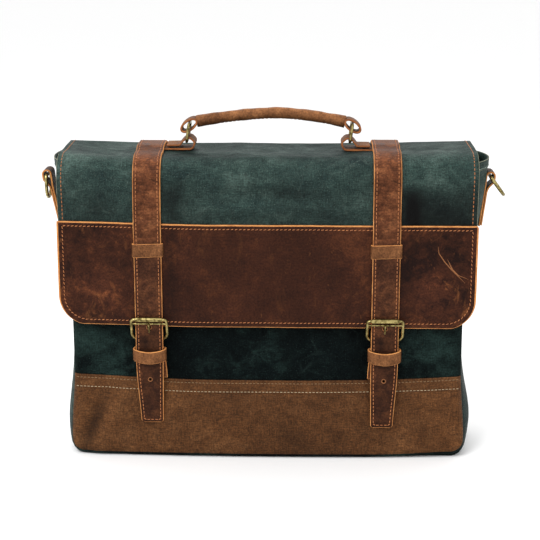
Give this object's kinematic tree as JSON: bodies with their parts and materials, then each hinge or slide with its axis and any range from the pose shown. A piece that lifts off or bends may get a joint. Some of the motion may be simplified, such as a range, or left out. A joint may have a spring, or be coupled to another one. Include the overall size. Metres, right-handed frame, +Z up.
{
  "type": "satchel bag",
  "caption": "Soft canvas and leather satchel with a fold-over flap, buckled straps that lift on magnetic snaps, a rolled carrying handle on rings, and swinging side rings.",
  "frame": {"origin": "centre of the base, on the surface that the bag stands on", "axes": "+X along the bag's width to its right-hand side, -Y towards the front, +Z up"},
  "size_m": [0.4623, 0.1132, 0.3514],
  "materials": {
    "green_canvas": "waxed cotton canvas, dark green",
    "tan_canvas": "waxed cotton canvas, tan",
    "lining_cloth": "plain cotton cloth",
    "base_board": "plain board",
    "band_leather": "oiled pull-up leather, dark brown",
    "strap_leather": "oiled pull-up leather, brown",
    "handle_leather": "oiled leather, light brown",
    "handle_cord": "cotton cord",
    "antique_brass": "antique brushed brass",
    "snap_steel": "plated steel",
    "thread": "waxed polyester thread"
  },
  "bodies": {
    "root": {"front_panel": "green_canvas", "front_base_panel": "tan_canvas", "back_panel": "green_canvas", "back_base_panel": "tan_canvas", "gusset_left": "green_canvas", "gusset_right": "green_canvas", "bottom_panel": "green_canvas", "base_board": "base_board", "lining": "lining_cloth", "laptop_divider": "lining_cloth", "slip_pocket": "lining_cloth", "side_tab_left": "handle_leather", "side_tab_right": "handle_leather", "snap_socket_left": "snap_steel", "snap_socket_right": "snap_steel", "snap_washers": "snap_steel"},
    "flap_top": {"flap_top_panel": "green_canvas", "flap_top_lining": "lining_cloth", "strap_top_left": "strap_leather", "strap_top_right": "strap_leather", "handle_anchor_left": "handle_leather", "handle_anchor_right": "handle_leather"},
    "flap_front": {"flap_front_panel": "green_canvas", "flap_front_lining": "lining_cloth", "flap_band": "band_leather", "strap_front_left": "strap_leather", "strap_front_right": "strap_leather", "upper_keeper_left": "handle_leather", "upper_keeper_right": "handle_leather"},
    "handle": {"handle_grip": "handle_leather", "handle_core": "handle_cord", "handle_loop_left": "handle_leather", "handle_loop_right": "handle_leather"},
    "strap_end_left": {"strap_end_left": "strap_leather", "buckle_frame_left": "antique_brass", "buckle_tab_left": "strap_leather", "snap_stud_left": "snap_steel"},
    "roller_left": {"buckle_roller_left": "antique_brass"},
    "prong_left": {"buckle_prong_left": "antique_brass"},
    "keeper_left": {"lower_keeper_left": "handle_leather"},
    "handle_ring_left": {"handle_ring_left": "antique_brass"},
    "side_ring_left": {"side_ring_left": "antique_brass"},
    "strap_end_right": {"strap_end_right": "strap_leather", "buckle_frame_right": "antique_brass", "buckle_tab_right": "strap_leather", "snap_stud_right": "snap_steel"},
    "roller_right": {"buckle_roller_right": "antique_brass"},
    "prong_right": {"buckle_prong_right": "antique_brass"},
    "keeper_right": {"lower_keeper_right": "handle_leather"},
    "handle_ring_right": {"handle_ring_right": "antique_brass"},
    "side_ring_right": {"side_ring_right": "antique_brass"}
  },
  "joints": [
    {"name": "flap_hinge", "type": "hinge", "parent": "root", "child": "flap_top", "pos_m": [0, 0.048, 0.3045], "axis": [-1, 0, 0], "range_deg": [0, 178]},
    {"name": "flap_fold", "type": "hinge", "parent": "flap_top", "child": "flap_front", "pos_m": [0, -0.04843, 0.30493], "axis": [-1, 0, 0], "range_deg": [0, 178]},
    {"name": "strap_lift_left", "type": "hinge", "parent": "flap_front", "child": "strap_end_left", "pos_m": [-0.1165, -0.0571, 0.155], "axis": [-1, 0, 0], "range_deg": [0, 35]},
    {"name": "roller_spin_left", "type": "hinge", "parent": "strap_end_left", "child": "roller_left", "pos_m": [-0.1165, -0.0597, 0.1475], "axis": [1, 0, 0], "continuous": true},
    {"name": "prong_tilt_left", "type": "hinge", "parent": "strap_end_left", "child": "prong_left", "pos_m": [-0.1165, -0.05065, 0.125], "axis": [1, 0, 0], "range_deg": [0, 12]},
    {"name": "keeper_slide_left", "type": "slide", "parent": "strap_end_left", "child": "keeper_left", "axis": [0, 0, 1], "range_m": [-0.002, 0.004]},
    {"name": "strap_lift_right", "type": "hinge", "parent": "flap_front", "child": "strap_end_right", "pos_m": [0.1165, -0.0571, 0.155], "axis": [-1, 0, 0], "range_deg": [0, 35]},
    {"name": "roller_spin_right", "type": "hinge", "parent": "strap_end_right", "child": "roller_right", "pos_m": [0.1165, -0.0597, 0.1475], "axis": [1, 0, 0], "continuous": true},
    {"name": "prong_tilt_right", "type": "hinge", "parent": "strap_end_right", "child": "prong_right", "pos_m": [0.1165, -0.05065, 0.125], "axis": [1, 0, 0], "range_deg": [0, 12]},
    {"name": "keeper_slide_right", "type": "slide", "parent": "strap_end_right", "child": "keeper_right", "axis": [0, 0, 1], "range_m": [-0.002, 0.004]},
    {"name": "ring_swing_left", "type": "hinge", "parent": "flap_top", "child": "handle_ring_left", "pos_m": [-0.081, 0.008, 0.3152], "axis": [0, 1, 0], "range_deg": [-38, 22]},
    {"name": "handle_pivot", "type": "hinge", "parent": "handle_ring_left", "child": "handle", "pos_m": [-0.07856, 0.008, 0.33253], "axis": [0, 1, 0], "range_deg": [-22, 38]},
    {"name": "ring_swing_right", "type": "hinge", "parent": "flap_top", "child": "handle_ring_right", "pos_m": [0.081, 0.008, 0.3152], "axis": [0, 1, 0], "range_deg": [-38, 22]},
    {"name": "side_ring_swing_left", "type": "hinge", "parent": "root", "child": "side_ring_left", "pos_m": [-0.2206, 0, 0.282], "axis": [0, 1, 0], "range_deg": [0, 150]},
    {"name": "side_ring_swing_right", "type": "hinge", "parent": "root", "child": "side_ring_right", "pos_m": [0.2206, 0, 0.282], "axis": [0, -1, 0], "range_deg": [-37, 110]}
  ],
  "couplings": [
    {"joint": "handle_pivot", "follows": "ring_swing_left", "ratio": -1},
    {"joint": "ring_swing_right", "follows": "ring_swing_left", "ratio": 1}
  ]
}
